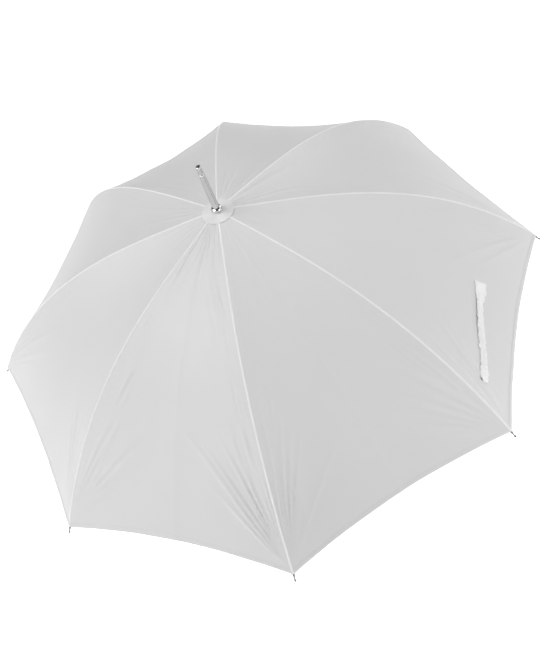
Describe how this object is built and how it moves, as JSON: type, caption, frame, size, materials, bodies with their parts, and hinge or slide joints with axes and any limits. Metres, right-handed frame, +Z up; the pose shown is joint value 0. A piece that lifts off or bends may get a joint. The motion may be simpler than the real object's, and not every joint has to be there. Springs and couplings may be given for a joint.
{
  "type": "umbrella",
  "caption": "Open white stick umbrella with a panelled canopy, folding ribs and stretchers, a sliding runner, spring catches, a chrome ferrule and a straight handle.",
  "frame": {"origin": "centre of the handle's flat end face, on the shaft's axis", "axes": "+Z runs up the shaft from the handle to the ferrule; +X points along rib 1, and the ribs are numbered from +X towards +Y"},
  "size_m": [1.2172, 1.2172, 1.005],
  "materials": {
    "canopy_fabric": "satin",
    "strap_webbing": "matte",
    "rib_metal": "satin",
    "stretcher_metal": "satin",
    "tip_metal": "satin",
    "shaft_chrome": "polished",
    "ferrule_chrome": "polished",
    "spring_steel": "satin",
    "white_plastic": "satin",
    "handle_wood": "satin"
  },
  "bodies": {
    "root": {"shaft": "shaft_chrome", "ferrule": "ferrule_chrome", "ferrule_cup": "ferrule_chrome", "top_rosette": "canopy_fabric", "top_notch": "white_plastic", "notch_wire": "spring_steel", "stop_pin": "spring_steel", "handle": "handle_wood", "handle_end_cap": "ferrule_chrome", "handle_collar": "ferrule_chrome"},
    "rib_1": {"rib_1_inner": "rib_metal", "canopy_panel_1": "canopy_fabric"},
    "rib_end_1": {"rib_1_outer": "rib_metal", "rib_tip_1": "tip_metal", "tie_strap": "strap_webbing", "strap_patch": "strap_webbing"},
    "stretcher_1": {"stretcher_1": "stretcher_metal"},
    "rib_2": {"rib_2_inner": "rib_metal", "canopy_panel_2": "canopy_fabric"},
    "rib_end_2": {"rib_2_outer": "rib_metal", "rib_tip_2": "tip_metal"},
    "stretcher_2": {"stretcher_2": "stretcher_metal"},
    "rib_3": {"rib_3_inner": "rib_metal", "canopy_panel_3": "canopy_fabric"},
    "rib_end_3": {"rib_3_outer": "rib_metal", "rib_tip_3": "tip_metal"},
    "stretcher_3": {"stretcher_3": "stretcher_metal"},
    "rib_4": {"rib_4_inner": "rib_metal", "canopy_panel_4": "canopy_fabric"},
    "rib_end_4": {"rib_4_outer": "rib_metal", "rib_tip_4": "tip_metal"},
    "stretcher_4": {"stretcher_4": "stretcher_metal"},
    "rib_5": {"rib_5_inner": "rib_metal", "canopy_panel_5": "canopy_fabric"},
    "rib_end_5": {"rib_5_outer": "rib_metal", "rib_tip_5": "tip_metal"},
    "stretcher_5": {"stretcher_5": "stretcher_metal"},
    "rib_6": {"rib_6_inner": "rib_metal", "canopy_panel_6": "canopy_fabric"},
    "rib_end_6": {"rib_6_outer": "rib_metal", "rib_tip_6": "tip_metal"},
    "stretcher_6": {"stretcher_6": "stretcher_metal"},
    "rib_7": {"rib_7_inner": "rib_metal", "canopy_panel_7": "canopy_fabric"},
    "rib_end_7": {"rib_7_outer": "rib_metal", "rib_tip_7": "tip_metal"},
    "stretcher_7": {"stretcher_7": "stretcher_metal"},
    "rib_8": {"rib_8_inner": "rib_metal", "canopy_panel_8": "canopy_fabric"},
    "rib_end_8": {"rib_8_outer": "rib_metal", "rib_tip_8": "tip_metal"},
    "stretcher_8": {"stretcher_8": "stretcher_metal"},
    "runner": {"runner": "white_plastic", "runner_wire": "spring_steel"},
    "top_catch": {"top_catch": "spring_steel"},
    "bottom_catch": {"bottom_catch": "spring_steel"}
  },
  "joints": [
    {"name": "rib_1_fold", "type": "hinge", "parent": "root", "child": "rib_1", "pos_m": [0.011, 0, 0.8878], "axis": [0, 1, 0], "range_deg": [0, 71.1], "deforming": ["canopy_panel_1"]},
    {"name": "rib_2_fold", "type": "hinge", "parent": "root", "child": "rib_2", "pos_m": [0.00778, 0.00778, 0.8878], "axis": [-0.7071, 0.7071, 0], "range_deg": [0, 71.1], "deforming": ["canopy_panel_2"]},
    {"name": "rib_3_fold", "type": "hinge", "parent": "root", "child": "rib_3", "pos_m": [0, 0.011, 0.8878], "axis": [-1, 0, 0], "range_deg": [0, 71.1], "deforming": ["canopy_panel_3"]},
    {"name": "rib_4_fold", "type": "hinge", "parent": "root", "child": "rib_4", "pos_m": [-0.00778, 0.00778, 0.8878], "axis": [-0.7071, -0.7071, 0], "range_deg": [0, 71.1], "deforming": ["canopy_panel_4"]},
    {"name": "rib_5_fold", "type": "hinge", "parent": "root", "child": "rib_5", "pos_m": [-0.011, 0, 0.8878], "axis": [0, -1, 0], "range_deg": [0, 71.1], "deforming": ["canopy_panel_5"]},
    {"name": "rib_6_fold", "type": "hinge", "parent": "root", "child": "rib_6", "pos_m": [-0.00778, -0.00778, 0.8878], "axis": [0.7071, -0.7071, 0], "range_deg": [0, 71.1], "deforming": ["canopy_panel_6"]},
    {"name": "rib_7_fold", "type": "hinge", "parent": "root", "child": "rib_7", "pos_m": [0, -0.011, 0.8878], "axis": [1, 0, 0], "range_deg": [0, 71.1], "deforming": ["canopy_panel_7"]},
    {"name": "rib_8_fold", "type": "hinge", "parent": "root", "child": "rib_8", "pos_m": [0.00778, -0.00778, 0.8878], "axis": [0.7071, 0.7071, 0], "range_deg": [0, 71.1], "deforming": ["canopy_panel_8"]},
    {"name": "rib_1_flex", "type": "hinge", "parent": "rib_1", "child": "rib_end_1", "pos_m": [0.3286, 0, 0.81458], "axis": [0, 1, 0], "range_deg": [-26.32, 0]},
    {"name": "stretcher_1_pivot", "type": "hinge", "parent": "rib_1", "child": "stretcher_1", "pos_m": [0.32655, 0, 0.81002], "axis": [0, 1, 0], "range_deg": [-142.2, 0]},
    {"name": "rib_2_flex", "type": "hinge", "parent": "rib_2", "child": "rib_end_2", "pos_m": [0.23236, 0.23236, 0.81458], "axis": [-0.7071, 0.7071, 0], "range_deg": [-26.32, 0]},
    {"name": "stretcher_2_pivot", "type": "hinge", "parent": "rib_2", "child": "stretcher_2", "pos_m": [0.2309, 0.2309, 0.81002], "axis": [-0.7071, 0.7071, 0], "range_deg": [-142.2, 0]},
    {"name": "rib_3_flex", "type": "hinge", "parent": "rib_3", "child": "rib_end_3", "pos_m": [0, 0.3286, 0.81458], "axis": [-1, 0, 0], "range_deg": [-26.32, 0]},
    {"name": "stretcher_3_pivot", "type": "hinge", "parent": "rib_3", "child": "stretcher_3", "pos_m": [0, 0.32655, 0.81002], "axis": [-1, 0, 0], "range_deg": [-142.2, 0]},
    {"name": "rib_4_flex", "type": "hinge", "parent": "rib_4", "child": "rib_end_4", "pos_m": [-0.23236, 0.23236, 0.81458], "axis": [-0.7071, -0.7071, 0], "range_deg": [-26.32, 0]},
    {"name": "stretcher_4_pivot", "type": "hinge", "parent": "rib_4", "child": "stretcher_4", "pos_m": [-0.2309, 0.2309, 0.81002], "axis": [-0.7071, -0.7071, 0], "range_deg": [-142.2, 0]},
    {"name": "rib_5_flex", "type": "hinge", "parent": "rib_5", "child": "rib_end_5", "pos_m": [-0.3286, 0, 0.81458], "axis": [0, -1, 0], "range_deg": [-26.32, 0]},
    {"name": "stretcher_5_pivot", "type": "hinge", "parent": "rib_5", "child": "stretcher_5", "pos_m": [-0.32655, 0, 0.81002], "axis": [0, -1, 0], "range_deg": [-142.2, 0]},
    {"name": "rib_6_flex", "type": "hinge", "parent": "rib_6", "child": "rib_end_6", "pos_m": [-0.23236, -0.23236, 0.81458], "axis": [0.7071, -0.7071, 0], "range_deg": [-26.32, 0]},
    {"name": "stretcher_6_pivot", "type": "hinge", "parent": "rib_6", "child": "stretcher_6", "pos_m": [-0.2309, -0.2309, 0.81002], "axis": [0.7071, -0.7071, 0], "range_deg": [-142.2, 0]},
    {"name": "rib_7_flex", "type": "hinge", "parent": "rib_7", "child": "rib_end_7", "pos_m": [0, -0.3286, 0.81458], "axis": [1, 0, 0], "range_deg": [-26.32, 0]},
    {"name": "stretcher_7_pivot", "type": "hinge", "parent": "rib_7", "child": "stretcher_7", "pos_m": [0, -0.32655, 0.81002], "axis": [1, 0, 0], "range_deg": [-142.2, 0]},
    {"name": "rib_8_flex", "type": "hinge", "parent": "rib_8", "child": "rib_end_8", "pos_m": [0.23236, -0.23236, 0.81458], "axis": [0.7071, 0.7071, 0], "range_deg": [-26.32, 0]},
    {"name": "stretcher_8_pivot", "type": "hinge", "parent": "rib_8", "child": "stretcher_8", "pos_m": [0.2309, -0.2309, 0.81002], "axis": [0.7071, 0.7071, 0], "range_deg": [-142.2, 0]},
    {"name": "runner_pivot", "type": "hinge", "parent": "stretcher_1", "child": "runner", "pos_m": [0.011, 0, 0.73223], "axis": [0, 1, 0], "range_deg": [0, 71.1]},
    {"name": "top_catch_press", "type": "slide", "parent": "root", "child": "top_catch", "axis": [-0.9239, -0.3827, 0], "range_m": [0, 0.0035], "stiffness_N_per_m": 800},
    {"name": "bottom_catch_press", "type": "slide", "parent": "root", "child": "bottom_catch", "axis": [-0.9239, -0.3827, 0], "range_m": [0, 0.0035], "stiffness_N_per_m": 800}
  ],
  "couplings": [
    {"joint": "rib_1_flex", "follows": "rib_1_fold", "ratio": -0.37},
    {"joint": "stretcher_1_pivot", "follows": "rib_1_fold", "ratio": -2},
    {"joint": "rib_2_fold", "follows": "rib_1_fold", "ratio": 1},
    {"joint": "rib_2_flex", "follows": "rib_1_fold", "ratio": -0.37},
    {"joint": "stretcher_2_pivot", "follows": "rib_1_fold", "ratio": -2},
    {"joint": "rib_3_fold", "follows": "rib_1_fold", "ratio": 1},
    {"joint": "rib_3_flex", "follows": "rib_1_fold", "ratio": -0.37},
    {"joint": "stretcher_3_pivot", "follows": "rib_1_fold", "ratio": -2},
    {"joint": "rib_4_fold", "follows": "rib_1_fold", "ratio": 1},
    {"joint": "rib_4_flex", "follows": "rib_1_fold", "ratio": -0.37},
    {"joint": "stretcher_4_pivot", "follows": "rib_1_fold", "ratio": -2},
    {"joint": "rib_5_fold", "follows": "rib_1_fold", "ratio": 1},
    {"joint": "rib_5_flex", "follows": "rib_1_fold", "ratio": -0.37},
    {"joint": "stretcher_5_pivot", "follows": "rib_1_fold", "ratio": -2},
    {"joint": "rib_6_fold", "follows": "rib_1_fold", "ratio": 1},
    {"joint": "rib_6_flex", "follows": "rib_1_fold", "ratio": -0.37},
    {"joint": "stretcher_6_pivot", "follows": "rib_1_fold", "ratio": -2},
    {"joint": "rib_7_fold", "follows": "rib_1_fold", "ratio": 1},
    {"joint": "rib_7_flex", "follows": "rib_1_fold", "ratio": -0.37},
    {"joint": "stretcher_7_pivot", "follows": "rib_1_fold", "ratio": -2},
    {"joint": "rib_8_fold", "follows": "rib_1_fold", "ratio": 1},
    {"joint": "rib_8_flex", "follows": "rib_1_fold", "ratio": -0.37},
    {"joint": "stretcher_8_pivot", "follows": "rib_1_fold", "ratio": -2},
    {"joint": "runner_pivot", "follows": "rib_1_fold", "ratio": 1}
  ]
}
